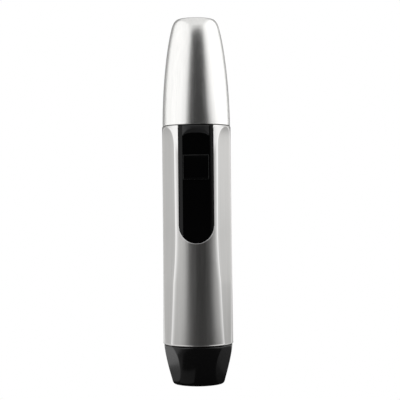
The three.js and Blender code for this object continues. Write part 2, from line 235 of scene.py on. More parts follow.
# ---- Materials --------------------------------------------------------------------------------------
# Most of a noise's values lie between these two.
NOISE_LOW = 0.3
NOISE_HIGH = 0.7
BROAD_SCALE = 0.17
BROAD_SHARE = 0.4
RELIEF = 0.02 * MM


def noise(nodes, links, where, scale, detail):
    made = nodes.new("ShaderNodeTexNoise")
    made.inputs["Scale"].default_value = scale
    made.inputs["Detail"].default_value = detail
    links.new(where, made.inputs["Vector"])
    return made.outputs["Fac"]


def finish(name, colour, roughness, *, grain, tint, rough_spread, bump, metallic=0.0, stretch=(1, 1, 1),
           **constants):
    """A material whose colour and roughness vary with a fine and a broad noise, mixed, and whose
    relief is the fine one. Both noises are stretched alike."""
    material = bpy.data.materials.new(name)
    material.use_nodes = True
    nodes = material.node_tree.nodes
    links = material.node_tree.links
    shader = nodes["Principled BSDF"]
    shader.inputs["Metallic"].default_value = metallic
    for socket, value in constants.items():
        shader.inputs[socket.replace("_", " ")].default_value = value

    where = nodes.new("ShaderNodeTexCoord")
    stretched = nodes.new("ShaderNodeMapping")
    stretched.inputs["Scale"].default_value = stretch
    links.new(where.outputs["Object"], stretched.inputs["Vector"])
    fine = noise(nodes, links, stretched.outputs["Vector"], grain, 4.0)
    broad = noise(nodes, links, stretched.outputs["Vector"], grain * BROAD_SCALE, 2.0)
    both = nodes.new("ShaderNodeMix")
    both.inputs["Factor"].default_value = BROAD_SHARE
    links.new(fine, both.inputs["A"])
    links.new(broad, both.inputs["B"])

    tone = nodes.new("ShaderNodeValToRGB")
    darker, lighter = tone.color_ramp.elements
    darker.position = NOISE_LOW
    darker.color = (*[c * (1 - tint) for c in colour], 1)
    lighter.position = NOISE_HIGH
    lighter.color = (*[min(c * (1 + tint), 1) for c in colour], 1)
    links.new(both.outputs["Result"], tone.inputs["Fac"])
    links.new(tone.outputs["Color"], shader.inputs["Base Color"])

    gloss = nodes.new("ShaderNodeMapRange")
    gloss.inputs["From Min"].default_value = NOISE_LOW
    gloss.inputs["From Max"].default_value = NOISE_HIGH
    gloss.inputs["To Min"].default_value = max(roughness - rough_spread, 0.02)
    gloss.inputs["To Max"].default_value = roughness + rough_spread
    links.new(both.outputs["Result"], gloss.inputs["Value"])
    links.new(gloss.outputs["Result"], shader.inputs["Roughness"])

    relief = nodes.new("ShaderNodeBump")
    relief.inputs["Strength"].default_value = bump
    relief.inputs["Distance"].default_value = RELIEF
    links.new(fine, relief.inputs["Height"])
    links.new(relief.outputs["Normal"], shader.inputs["Normal"])
    return material


def paint_highlight(material, colour):
    """Paints a highlight into a material: its colour turns brighter where its piece's highlight attribute
    rises towards 1.
    """
    nodes = material.node_tree.nodes
    links = material.node_tree.links
    shader = nodes["Principled BSDF"]
    amount = nodes.new("ShaderNodeAttribute")
    amount.attribute_name = "painted_highlight"
    blend = nodes.new("ShaderNodeMix")
    blend.data_type = "RGBA"
    plain, highlight_colour = [n for n in blend.inputs if n.type == "RGBA"]
    highlight_colour.default_value = (*colour, 1)
    links.new(amount.outputs["Fac"], blend.inputs["Factor"])
    links.new(shader.inputs["Base Color"].links[0].from_socket, plain)
    result = next(n for n in blend.outputs if n.type == "RGBA")
    links.new(result, shader.inputs["Base Color"])


def comb(material, amount):
    """Blurs reflections more round the long axis than along it, as lengthwise brushing does."""
    nodes = material.node_tree.nodes
    shader = nodes["Principled BSDF"]
    shader.inputs["Anisotropic"].default_value = amount
    round_axis = nodes.new("ShaderNodeTangent")
    round_axis.direction_type = "RADIAL"
    round_axis.axis = "Z"
    material.node_tree.links.new(round_axis.outputs["Tangent"], shader.inputs["Tangent"])


LENGTHWISE = (1, 1, 0.012)
BRUSHED = finish("brushed_sleeve", (0.47, 0.465, 0.455), 0.31, metallic=1.0, stretch=LENGTHWISE,
                 grain=3000, tint=0.07, rough_spread=0.04, bump=0.05)
# The sleeve's colour is brightened here into painted highlights along its facet edges and beside the
# window's top.
paint_highlight(BRUSHED, (0.84, 0.835, 0.825))
BRUSHED_CAP = finish("brushed_cap", (0.84, 0.835, 0.82), 0.24, metallic=1.0, stretch=LENGTHWISE,
                     grain=2200, tint=0.06, rough_spread=0.02, bump=0.012)
comb(BRUSHED_CAP, 0.7)
# The window's edge is coloured much brighter than the sleeve, a painted highlight on its narrow chamfer.
EDGE_HIGHLIGHT_PAINT = finish("edge_highlight_paint", (0.82, 0.815, 0.805), 0.3, metallic=1.0, stretch=LENGTHWISE,
                     grain=4000, tint=0.03, rough_spread=0.03, bump=0.05)
CHROME = finish("bright_plate", (0.80, 0.80, 0.81), 0.09, metallic=1.0,
                grain=900, tint=0.02, rough_spread=0.02, bump=0.03)
GROUND = finish("ground_steel", (0.62, 0.62, 0.63), 0.26, metallic=1.0, stretch=(1, 1, 6),
                grain=2500, tint=0.06, rough_spread=0.06, bump=0.2)
WIRE = finish("spring_wire", (0.55, 0.55, 0.56), 0.3, metallic=1.0,
              grain=3000, tint=0.08, rough_spread=0.06, bump=0.2)
GLOSS_BLACK = finish("gloss_black", (0.0013, 0.0013, 0.0014), 0.16,
                     grain=700, tint=0.1, rough_spread=0.015, bump=0.02, Specular_IOR_Level=0.2)
BASE_BLACK = finish("base_black", (0.0013, 0.0013, 0.0014), 0.21,
                    grain=900, tint=0.1, rough_spread=0.03, bump=0.05, Specular_IOR_Level=0.5)
SATIN_BLACK = finish("satin_black", (0.02, 0.02, 0.021), 0.38,
                     grain=3500, tint=0.15, rough_spread=0.06, bump=0.35)
GREY_MOULDED = finish("moulded_grey", (0.05, 0.052, 0.056), 0.5,
                      grain=3000, tint=0.1, rough_spread=0.08, bump=0.35)
PALE_MOULDED = finish("moulded_pale", (0.68, 0.66, 0.61), 0.42,
                      grain=2500, tint=0.03, rough_spread=0.06, bump=0.2)
RUBBER = finish("rubber", (0.010, 0.010, 0.010), 0.62,
                grain=5000, tint=0.2, rough_spread=0.08, bump=0.5)
FOAM = finish("foam", (0.03, 0.03, 0.032), 0.95,
              grain=4000, tint=0.35, rough_spread=0.04, bump=1.0)
BRASS = finish("stamped_brass", (0.66, 0.44, 0.16), 0.28, metallic=1.0, stretch=(1, 1, 0.1),
               grain=3000, tint=0.07, rough_spread=0.07, bump=0.2)
BOARD = finish("circuit_green", (0.012, 0.09, 0.03), 0.32,
               grain=1800, tint=0.12, rough_spread=0.06, bump=0.15)
WRAP = finish("cell_wrap", (0.10, 0.19, 0.25), 0.24, metallic=0.35, stretch=(1, 1, 0.2),
              grain=1200, tint=0.05, rough_spread=0.04, bump=0.06)
LEAD_RED = finish("lead_red", (0.45, 0.02, 0.015), 0.42,
                  grain=2500, tint=0.08, rough_spread=0.06, bump=0.15)


# ---- Facets -----------------------------------------------------------------------------------------
EDGE_ROUNDING = 0.12
EDGE_STEPS = 8
FLAT_STEPS = 6
# Angles in radians: half an edge zone, the least half facet, and how far a facet can reach.
EDGE_ZONE = 0.034
LEAST_HALF = 0.07
FACET_REACH = 1.2

# The sleeve's foot ends in a fine rolled bead.
SLEEVE_SKIN = [
    (13.32, BODY_BOTTOM),
    (13.46, BODY_BOTTOM + 0.08),
    (13.51, BODY_BOTTOM + 0.2),
    (13.49, BODY_BOTTOM + 0.32),
    (SLEEVE_FOOT_R, BODY_BOTTOM + 0.55),
    (SLEEVE_FOOT_R, SLEEVE_FOOT_TOP),
    (SLEEVE_R, 55.0),
    (SLEEVE_R, BODY_TOP - 0.3),
    (13.12, BODY_TOP),
]
SLEEVE_FACET = (
    [(SLEEVE_R, 13.5)]
    + curve([(12.65, 39.3), (12.17, 49.5), (12.14, 57.0)], 24)
    + curve([(12.24, 90.0), (12.25, 96.5), (13.4, BODY_TOP)], 48)
)
BASE_SKIN = curve([(9.2, 0.0), (9.95, 0.1), (10.2, 1.5)], 12)
BASE_SKIN += curve([(10.2, 1.5), (12.86, 10.7), (13.15, BASE_TOP)], 24)[1:]
BASE_FACET = curve([(9.75, -2.0), (9.75, 6.6), (12.9, BASE_TOP + 0.1)], 40)


def turn_between(angle, degrees):
    """The turn from a direction in degrees to an angle in radians, between -pi and pi."""
    return (angle - math.radians(degrees) + math.pi) % (2 * math.pi) - math.pi


def half_width(z, skin, facet):
    """Half the angle that a facet spans at a height, in radians."""
    round_r = radius_at(z, skin)
    flat = min(radius_at(z, facet), round_r)
    return max(math.acos(flat / round_r), LEAST_HALF)


def faceted_radius(angle, z, skin, facet):
    """The surface's radius at an angle and height, with the facets' edges rounded."""
    made = radius_at(z, skin)
    flat = radius_at(z, facet)
    for normal in FACET_NORMALS:
        away = turn_between(angle, normal)
        if abs(away) < FACET_REACH:
            made = soft_min(made, flat / math.cos(away), EDGE_ROUNDING)
    return made


def facet_marks(half):
    """Where each facet's two edge zones start and stop, in radians, all the way round."""
    marks = []
    for normal in FACET_NORMALS:
        middle = math.radians(normal)
        for edge in (middle - half, middle + half):
            marks += [edge - EDGE_ZONE, edge + EDGE_ZONE]
    return marks


def facet_columns(half, round_steps, closed=False):
    """Angles from the first facet edge to the last, crowded in the edge zones.
    Closed columns go on across the front to where they started."""
    marks = facet_marks(half)
    steps = ([EDGE_STEPS, FLAT_STEPS, EDGE_STEPS, round_steps] * len(FACET_NORMALS))[:-1]
    spans = list(zip(marks, marks[1:], steps))
    if closed:
        spans.append((marks[-1], marks[0] + 2 * math.pi, 2 * round_steps))
    angles = [lerp(a, b, k / count) for a, b, count in spans for k in range(count)]
    return angles if closed else angles + [marks[-1]]


# ---- Sleeve -----------------------------------------------------------------------------------------
def sleeve_point(angle, z):
    return polar(faceted_radius(angle, z, SLEEVE_SKIN, SLEEVE_FACET), angle, z)


def front_bound(z):
    """The angle where the front field ends, just before the front facets' edges."""
    return facet_marks(half_width(z, SLEEVE_SKIN, SLEEVE_FACET))[0]


def front_point(x, z):
    return sleeve_point(math.asin(x / radius_at(z, SLEEVE_SKIN)), z)


def ease(t):
    """0 below 0, 1 above 1, and a smooth step between."""
    t = min(max(t, 0.0), 1.0)
    return t * t * (3 - 2 * t)


# The sleeve's painted highlights, and its brighter bead: how bright they are, and how they fade in
# millimetres or degrees.
BEAD_BRIGHTENING = 0.25
BEAD_HEIGHT = 0.5
WEDGE_PAINTED_HIGHLIGHT = 0.92
WEDGE_FOOT = 86.0
WEDGE_RISE = 7.0
WEDGE_TURN = 36.0
WEDGE_FADE = 24.0
EDGE_FADE_ROUND = 0.95
EDGE_FADE_FLAT = 0.3
# A facet whose half angle is less than this, in radians, has no painted highlight along its edges.
FACET_FADED = 0.1


def painted_highlight_at(point):
    """How much the sleeve's colour is brightened: a painted highlight along the facets' edges, on
    top of what their rounding catches, fading over the round parts beside them, and over the wedges
    beside the window's top; and a little brightening on the bead at its foot."""
    if point.z < BODY_BOTTOM + BEAD_HEIGHT:
        return BEAD_BRIGHTENING
    angle = math.atan2(point.x, -point.y) % (2 * math.pi)
    from_front = math.degrees(min(angle, 2 * math.pi - angle))
    # A painted highlight over the wedges beside the window's top.
    wedge = WEDGE_PAINTED_HIGHLIGHT * ease((point.z - WEDGE_FOOT) / WEDGE_RISE)
    wedge *= 1 - ease((from_front - WEDGE_TURN) / WEDGE_FADE)
    half = half_width(point.z, SLEEVE_SKIN, SLEEVE_FACET)
    if half < FACET_FADED:
        return wedge
    # A painted highlight along the facets' edges, on top of the light that their rounding catches.
    outside = min(abs(turn_between(angle, normal)) for normal in FACET_NORMALS) - half
    away = outside * SLEEVE_R
    if away > 0:
        return max(math.exp(-((away / EDGE_FADE_ROUND) ** 2)), wedge)
    return math.exp(-((away / EDGE_FADE_FLAT) ** 2))


def spaced(low, high, step):
    count = max(1, round((high - low) / step))
    return [lerp(low, high, i / count) for i in range(count)]


# Rows lie close together over the bead, up to this height.
BEAD_ROWS_TOP = 16.1
# The front below the window is an even field up to this height, and a fan of quads above it.
FIELD_TOP = 47.0
FIELD_COLUMNS = 30
SLEEVE_ROUND_STEPS = 9
FAN_STEPS = 16
# How far each ring of quads is from the window, as a share of the way to the facet's edge.
RINGS = [0.0, 0.05, 0.12, 0.22, 0.35, 0.5, 0.66, 0.83, 1.0]


def window_end(t):
    """A point on the window's round lower end, from left to right, as x and height."""
    turn = math.pi * (1 + t)
    return (WINDOW_HALF * math.cos(turn), WINDOW_CENTRE + WINDOW_HALF * math.sin(turn))


def edge_x(z):
    """How far out the front ends at a height, beside a front facet."""
    return radius_at(z, SLEEVE_SKIN) * math.sin(front_bound(z))


def sleeve_sides(heights):
    rows = []
    for z in heights:
        half = half_width(z, SLEEVE_SKIN, SLEEVE_FACET)
        rows.append([sleeve_point(a, z) for a in facet_columns(half, SLEEVE_ROUND_STEPS)])
    return grid(rows)


def sleeve_field(heights):
    rows = []
    for z in heights:
        bound = front_bound(z)
        shares = [i / FIELD_COLUMNS for i in range(FIELD_COLUMNS + 1)]
        rows.append([sleeve_point(lerp(-bound, bound, t), z) for t in shares])
    return grid(rows)


def sleeve_fan(heights):
    """Rays from the window's lower end out to the facets' edges and the top of the field."""
    bound = front_bound(FIELD_TOP)
    radius = radius_at(FIELD_TOP, SLEEVE_SKIN)
    outer = [(-edge_x(z), z) for z in reversed(heights)]
    for i in range(1, FIELD_COLUMNS):
        outer.append((radius * math.sin(lerp(-bound, bound, i / FIELD_COLUMNS)), FIELD_TOP))
    outer += [(edge_x(z), z) for z in heights]
    rows = []
    for i, (x, z) in enumerate(outer):
        start_x, start_z = window_end(i / (len(outer) - 1))
        rows.append([front_point(lerp(start_x, x, t), lerp(start_z, z, t)) for t in RINGS])
    return grid(rows)


def sleeve_strip(side, heights):
    """The strip beside the window, on the left for -1 and on the right for 1."""
    rows = []
    for z in heights:
        rows.append([front_point(side * lerp(WINDOW_HALF, edge_x(z), t), z) for t in RINGS])
    return grid(rows)


def make_sleeve():
    """The skin is five patches: the back and sides, the front below the window, a fan round the
    window's lower end, and the two strips beside it."""
    low = spaced(BODY_BOTTOM, BEAD_ROWS_TOP, 0.06) + [BEAD_ROWS_TOP, 16.25]
    low += spaced(16.5, SLEEVE_FOOT_TOP, 0.9) + spaced(SLEEVE_FOOT_TOP, FIELD_TOP, 1.0)
    fan = [lerp(FIELD_TOP, WINDOW_CENTRE, i / FAN_STEPS) for i in range(FAN_STEPS + 1)]
    high = spaced(WINDOW_CENTRE, 90.0, 1.1) + spaced(90.0, 95.0, 0.35)
    high += spaced(95.0, BODY_TOP - 0.3, 0.12) + [BODY_TOP - 0.3, BODY_TOP - 0.15, BODY_TOP]
    patches = [sleeve_sides(low + fan[:-1] + high), sleeve_field(low + [FIELD_TOP]), sleeve_fan(fan)]
    patches += [sleeve_strip(side, high) for side in (-1, 1)]
    points, faces = joined(patches)
    made = piece("sleeve_skin", points, faces, "body", BRUSHED, ["body_sleeve"])
    # Each point's share of the painted highlight, which the sleeve's material reads.
    painted_highlight = made.data.attributes.new("painted_highlight", "FLOAT", "POINT")
    for vertex, entry in zip(made.data.vertices, painted_highlight.data):
        entry.value = painted_highlight_at(vertex.co / MM)
    shell(made, SLEEVE_WALL)
    bevel = made.modifiers.new("rim", "BEVEL")
    bevel.width = 0.16 * MM
    bevel.segments = 3
    bevel.limit_method = "ANGLE"
    bevel.angle_limit = math.radians(55)


def make_window_edge():
    """The window's edge, a narrow chamfer that follows its sides and its round lower end. Its colour is
    much brighter than the sleeve's, a painted highlight.
    """
    top = 98.6
    end_steps = 60
    heights = [top - i for i in range(39)]
    path = [(-WINDOW_HALF, z) for z in heights]
    path += [window_end(i / end_steps) for i in range(end_steps + 1)]
    path += [(WINDOW_HALF, z) for z in reversed(heights)]
    points = []
    for x, z in path:
        r = radius_at(z, SLEEVE_SKIN) - 0.1
        points.append((x, -math.sqrt(r * r - x * x), z))
    tube("window_edge", points, 0.17, "body", EDGE_HIGHLIGHT_PAINT)


# ---- Control panel and slide switch -----------------------------------------------------------------
# The flat in the panel's face ends at the top in an arch, above which the face slopes up again.
ARCH_FOOT = 93.0
ARCH_RISE = 2.8
ARCH_HALF = 5.3
ARCH_POWER = 2.8
PANEL_EDGE = 0.12
PANEL_EDGE_DEPTH = 0.14
PANEL_COLUMNS = 72
PANEL_TOP = 98.55
PANEL_THICKNESS = 1.8
SLOPE_START = 0.45
SLOPE_GROWTH = 0.1
PANEL_BLEND = 0.1


def panel_depth(x, z):
    """How far the panel's face is from the middle plane: a round face with a long flat in it,
    which runs out under the sleeve's lower edge and slopes up to the round face above the arch."""
    round_face = math.sqrt(PANEL_R**2 - x * x)
    reach = max(1 - (abs(x) / ARCH_HALF) ** ARCH_POWER, 0.0)
    rise = max(z - (ARCH_FOOT + ARCH_RISE * reach ** (1 / ARCH_POWER)), 0.0)
    flat = RECESS_DEPTH + SLOPE_START * rise + SLOPE_GROWTH * rise * rise
    return soft_min(round_face, flat, PANEL_BLEND)


def panel_row(z, half):
    """A row of the panel's face, with its outer edges rounded back."""
    row = []
    for i in range(PANEL_COLUMNS + 1):
        x = -half * math.cos(math.pi * i / PANEL_COLUMNS)
        edge = min((half - abs(x)) / PANEL_EDGE, 1.0)
        row.append((x, -(panel_depth(x, z) - PANEL_EDGE_DEPTH * (1 - edge) ** 2), z))
    return row


def make_panel():
    """Rows of the face run down the sides and then round the lower end. The face is closed by a
    back behind it, so that the panel is one solid plate."""
    half = WINDOW_HALF - 0.2
    rows = [panel_row(z, half) for z in [PANEL_TOP] + spaced(ARCH_FOOT, 98.4, 0.15)[::-1]]
    rows += [panel_row(z, half) for z in spaced(WINDOW_CENTRE, ARCH_FOOT, 0.8)[::-1]]
    end_steps = 45
    for i in range(1, end_steps):
        turn = math.radians(90 * i / end_steps)
        rows.append(panel_row(WINDOW_CENTRE - half * math.sin(turn), half * math.cos(turn)))
    front, quads = grid(rows)
    count = len(front)
    points = front + [(x, y + PANEL_THICKNESS, z) for x, y, z in front]
    faces = quads + [tuple(i + count for i in reversed(q)) for q in quads]
    width = PANEL_COLUMNS + 1
    last = len(rows) - 1
    border = list(range(width))
    border += [r * width + width - 1 for r in range(1, last + 1)]
    border += [last * width + i for i in reversed(range(width - 1))]
    border += [r * width for r in reversed(range(1, last))]
    for a, b in zip(border, border[1:] + border[:1]):
        faces.append((a, b, b + count, a + count))
    made = piece("panel_skin", points, faces, "body", GLOSS_BLACK, ["control_panel"])
    # The slope above the arch is satin.
    made.data.materials.append(SATIN_BLACK)
    for face in made.data.polygons:
        middle = face.center / MM
        if middle.z > ARCH_FOOT and -middle.y > RECESS_DEPTH + 0.03:
            face.material_index = 1


SLIDER_HALF = RECESS_HALF - 0.25
LIP_INSET = 0.4
LIP_WIDTH = 0.28
LIP_HEIGHT = 0.1
DISH_DEPTH = 0.12
SLIDER_FACE = 12.55
BORDER_WIDTH = 0.11
BORDER_DEPTH = 0.08


def slider_y(x, z):
    """The button's face: slightly dished between two rounded lips, with its border rounded off."""
    from_bottom = z - SLIDER_BOTTOM
    from_top = SLIDER_TOP - z
    lip = math.exp(-(((from_bottom - LIP_INSET) / LIP_WIDTH) ** 2))
    lip += math.exp(-(((from_top - LIP_INSET) / LIP_WIDTH) ** 2))
    dish = DISH_DEPTH * math.sin(math.pi * (from_bottom / (SLIDER_TOP - SLIDER_BOTTOM)))
    edge = min(SLIDER_HALF - abs(x), from_bottom, from_top)
    rounding = BORDER_DEPTH * (1 - min(edge / BORDER_WIDTH, 1.0)) ** 2
    return -(SLIDER_FACE + LIP_HEIGHT * lip - dish - rounding)


def make_slider():
    half = SLIDER_HALF
    heights = [SLIDER_BOTTOM + 0.02] + spaced(SLIDER_BOTTOM + 0.14, SLIDER_TOP - 0.14, 0.12)
    heights += [SLIDER_TOP - 0.14, SLIDER_TOP - 0.02]
    xs = [lerp(-half + 0.3, half - 0.3, i / 30) for i in range(31)]
    xs = [-half + 0.02, -half + 0.12] + xs + [half - 0.12, half - 0.02]
    rows = [[(x, slider_y(x, z), z) for x in xs] for z in heights]
    rows.insert(0, [(x, -SLIDER_BACK, heights[0]) for x in xs])
    rows.append([(x, -SLIDER_BACK, heights[-1]) for x in xs])
    points, faces = grid(rows)
    width = len(xs)
    count = len(rows)
    # The two sides and the back close it.
    faces.append(tuple(i * width for i in range(count)))
    faces.append(tuple(i * width + width - 1 for i in reversed(range(count))))
    faces.append(tuple(range(width)) + tuple((count - 1) * width + i for i in reversed(range(width))))
    made = piece(
        "slider_face", points, faces, "switch_slider", GLOSS_BLACK, ["slider_button"]
    )
    # Its narrow sides are left dull from the mould.
    made.data.materials.append(RUBBER)
    for face in made.data.polygons:
        middle = face.center / MM
        at_side = half - abs(middle.x) < 0.12
        if at_side or min(middle.z - SLIDER_BOTTOM, SLIDER_TOP - middle.z) < 0.1:
            face.material_index = 1


# ---- Cap --------------------------------------------------------------------------------------------
def make_cap():
    """A bullet outline up the outside, over the flat crown and down the inside of the wall."""
    side = [(CAP_R, CAP_BOTTOM + 0.1)]
    side += curve([(CAP_R, CAP_BOTTOM + 0.2), (12.93, 112.0), (11.5, 127.5), (9.3, 136.0)], 48)
    crown = curve([(9.3, 136.0), (8.35, LENGTH), (6.4, LENGTH)], 16)
    top = [(r, LENGTH) for r in (4.8, 3.2, 1.6, 0.0)]
    ceiling = LENGTH - CAP_WALL
    inside = [(0.0, ceiling), (5.6, ceiling), (7.3, 138.2), (8.5, 135.2)]
    inside += [(r - CAP_WALL, z) for r, z in reversed(side[:-1])][1::3]
    rim = [(12.27, CAP_BOTTOM + 0.2), (12.4, CAP_BOTTOM), (12.9, CAP_BOTTOM), (12.97, CAP_BOTTOM + 0.03)]
    outline = side + crown[1:] + top + inside + rim
    turned("cap_skin", outline, "cap", BRUSHED_CAP, ["cap_shell"], sides=160)


# ---- Base -------------------------------------------------------------------------------------------
BASE_ROUND_STEPS = 10


def make_base():
    """Rows go from the foot up the scooped side, over the top edge, and down inside. Each is a
    radius and a height, and the height whose facets set how its columns are spread. A "facet" row
    follows the facets, and its radius is how far it lies inside them."""
    rows = [("round", r, 0.0, 1.5) for r in (0.0, 4.0, 7.5, 8.8)]
    rows += [("facet", 0.0, z, z) for z in [0.15, 0.5, 0.9, 1.3] + spaced(1.7, 14.8, 0.35) + [14.8]]
    rows += [("facet", r, z, z) for r, z in [(0.05, 15.0), (0.16, 15.14), (0.34, BASE_TOP)]]
    inner = filleted(
        [
            (11.85, BASE_TOP, 0),
            (11.85, 17.0, 0.1),
            (10.95, 17.2, 0.1),
            (10.95, 18.5, 0.1),
            (11.85, 18.7, 0.1),
            (11.85, 22.1, 0.3),
            (11.45, 22.5, 0.2),
            (10.2, 22.5, 0.1),
            (10.2, 12.0, 0),
            (9.9, 8.0, 0),
            (9.05, 2.6, 0.4),
            (0.0, 2.6, 0),
        ]
    )
    rows += [("round", r, z, BASE_TOP) for r, z in inner]
    made = []
    for kind, r, z, shape_z in rows:
        half = half_width(shape_z, BASE_SKIN, BASE_FACET)
        angles = facet_columns(half, BASE_ROUND_STEPS, closed=True)
        if kind == "round":
            made.append([polar(r, a, z) for a in angles])
        else:
            made.append([polar(faceted_radius(a, z, BASE_SKIN, BASE_FACET) - r, a, z) for a in angles])
    points, faces = grid(made, wrap=True)
    piece("base_skin", points, faces, "base", BASE_BLACK, ["base_cap"])


# ---- Under the cap ----------------------------------------------------------------------------------
def make_collar():
    cone = curve([(10.3, 106.6), (6.2, 108.5), (4.5, 119.0)], 28)
    outline = filleted(
        [
            (6.9, 100.6, 0.2),
            (7.85, 100.6, 0.2),
            (7.85, 105.25, 0),
            (10.6, 105.25, 0.2),
            (10.6, 106.2, 0.25),
        ]
        + [(r, z, 0) for r, z in cone[:-1]]
        + [(4.5, 119.0, 0.25), (3.5, 119.0, 0.1), (3.5, 112.0, 0), (6.9, 107.6, 0)],
        closed=True,
    )
    turned("collar_skin", outline, "head", CHROME, ["head_collar"])


# The guard tube, with comb slots over its crown.
GUARD_R = 3.4
GUARD_SHOULDER = 129.6
GUARD_TOP = 131.0
GUARD_WALL = 0.33
SLOTS = 8
SLOT_HALF = 0.33
SLOT_FOOT = 126.5
SLOT_END_R = 1.7
COMB_STEPS = 12


def guard_row(r, z):
    """Points round the tube: the two sides of each slot, then the tooth up to the next slot."""
    spread = min(SLOT_HALF / max(r, 1.5), 0.3)
    pitch = 2 * math.pi / SLOTS
    row = []
    for k in range(SLOTS):
        middle = 2 * math.pi * k / SLOTS + math.pi / SLOTS
        row += [polar(r, middle - spread, z), polar(r, middle + spread, z)]
        for i in range(1, COMB_STEPS):
            row.append(polar(r, lerp(middle + spread, middle + pitch - spread, i / COMB_STEPS), z))
    return row


def make_guard():
    skin = [(GUARD_R, z) for z in spaced(113.2, GUARD_SHOULDER, 1.0)]
    skin += curve([(GUARD_R, GUARD_SHOULDER), (3.38, 130.7), (2.3, GUARD_TOP)], 10)
    skin += [(r, GUARD_TOP) for r in (1.6, 1.1, 0.7)]
    points, faces = grid([guard_row(r, z) for r, z in skin], wrap=True)
    width = SLOTS * (COMB_STEPS + 1)
    kept = []
    for face in faces:
        row, column = divmod(face[0], width)
        r, z = skin[row]
        in_slot = column % (COMB_STEPS + 1) == 0 and z > SLOT_FOOT and r > SLOT_END_R
        if not in_slot:
            kept.append(face)
    made = piece("guard_skin", points, kept, "head", GROUND, ["guard_tube"])
    shell(made, GUARD_WALL)
    rounded(made, 0.05, angle=50)


def make_seal(name, radius, z, wire, body, node):
    """A rubber ring of round section in its groove."""
    path = [polar(radius, 2 * math.pi * i / 120, z) for i in range(120)]
    tube(name, path, wire, body, RUBBER, [node], sides=16, loop=True)


def make_neck():
    outline = filleted(
        [
            (3.1, 94.3, 0),
            (11.05, 94.3, 0),
            (11.05, BODY_TOP + 0.1, 0.1),
            (11.4, BODY_TOP + 0.1, 0.1),
            (11.4, 101.9, 0.15),
            (10.4, 102.1, 0.1),
            (10.4, 103.5, 0.1),
            (11.4, 103.7, 0.15),
            (11.4, 104.6, 0.25),
            (11.0, 105.0, 0.25),
            (8.05, 105.0, 0.2),
            (8.05, 102.9, 0),
            (9.2, 102.9, 0),
            (9.2, 100.9, 0),
            (8.05, 100.9, 0),
            (8.05, 100.1, 0),
            (4.7, 100.1, 0),
            (4.7, 98.8, 0),
            (3.1, 98.8, 0),
        ],
        closed=True,
    )
    turned("neck_skin", outline, "body", SATIN_BLACK, ["neck_ring"])
    make_seal("neck_seal_skin", 10.95, 102.8, 0.45, "body", "neck_seal")


COIL_TURNS = 3.5
COIL_STEPS = 140


def make_coil(name, start, end, wire, body, node):
    """A spring from one (radius, height) to another."""
    path = []
    for i in range(COIL_STEPS + 1):
        t = i / COIL_STEPS
        turn = 2 * math.pi * COIL_TURNS * t
        r = lerp(start[0], end[0], t)
        path.append((r * math.cos(turn), r * math.sin(turn), lerp(start[1], end[1], t)))
    tube(name, path, wire, body, WIRE, [node])


def make_springs():
    make_coil("battery_coil", (4.6, 4.0), (3.0, 8.6), 0.38, "base", "battery_spring")
    make_coil("cutter_coil", (2.05, 101.6), (2.05, 105.8), 0.25, "rotor", "cutter_spring")


def make_base_seal():
    make_seal("base_seal_skin", 11.5, 17.85, 0.45, "base", "base_seal")


def make_cell():
    """The cell's wrap is folded over both ends, and its button is a piece of its own."""
    wrap = filleted(
        [
            (5.6, 9.28, 0),
            (7.2, 9.2, 0.7),
            (7.2, 58.4, 0.7),
            (5.2, 58.4, 0.15),
            (5.0, 58.2, 0),
            (0.0, 58.2, 0),
        ]
    )
    foot = [(0.0, 9.35), (5.3, 9.35), (5.6, 9.28)]
    turned("cell_skin", foot + wrap[1:], "battery", WRAP, ["battery_can"], closed=False)
    cup = filleted([(0.0, 58.25, 0), (2.9, 58.25, 0), (2.75, 59.75, 0.35), (0.0, 59.75, 0)])
    node = "battery_terminal"
    turned("cell_button", cup, "battery", GROUND, [node], sides=48, closed=False)


CARRIED = {
    "cap_liner": GREY_MOULDED,
    "slider_fork": PALE_MOULDED,
    "switch_housing": GROUND,
    "circuit_board": BOARD,
    "chassis_front": GREY_MOULDED,
    "chassis_rear": GREY_MOULDED,
    "chassis_screw_1": GROUND,
    "chassis_screw_2": GROUND,
    "chassis_screw_3": GROUND,
    "chassis_screw_4": GROUND,
    "positive_contact": BRASS,
    "negative_strip": BRASS,
    "base_contact": BRASS,
    "motor_can": GROUND,
    "motor_end_cap": PALE_MOULDED,
    "motor_tab_positive": BRASS,
    "motor_tab_negative": BRASS,
    "motor_cushion": FOAM,
    "motor_lead": LEAD_RED,
    "motor_shaft": GROUND,
    "drive_coupling": PALE_MOULDED,
    "cutter_stem": PALE_MOULDED,
    "inner_cutter": GROUND,
    "shaft_seal": RUBBER,
}


def finish_carried():
    """CAD nodes that keep their shape get a material and softly rounded edges."""
    for name, material in CARRIED.items():
        node = NODES[name]
        node.data.materials.clear()
        node.data.materials.append(material)
        rounded(node, 0.08)


# ---- Stage, in metres -------------------------------------------------------------------------------
STUDIO_TURN = math.radians(9)
WALL_X = 0.8
WALL_TOP = 1.1
FLOOR_GREY = 0.08
DIM_WORLD = 0.022


def softbox(name, corners, radiance):
    """A large glowing panel of even brightness, which only shows in reflections."""
    mesh = bpy.data.meshes.new(name)
    turn = Matrix.Rotation(STUDIO_TURN, 3, "Z")
    mesh.from_pydata([turn @ Vector(corner) for corner in corners], [], [tuple(range(len(corners)))])
    panel = bpy.data.objects.new(name, mesh)
    bpy.context.scene.collection.objects.link(panel)
    glow = bpy.data.materials.new(name)
    glow.use_nodes = True
    nodes = glow.node_tree.nodes
    nodes.remove(nodes["Principled BSDF"])
    emission = nodes.new("ShaderNodeEmission")
    emission.inputs["Strength"].default_value = radiance
    glow.node_tree.links.new(emission.outputs["Emission"], nodes["Material Output"].inputs["Surface"])
    mesh.materials.append(glow)
    panel.visible_camera = False
    panel.visible_shadow = False


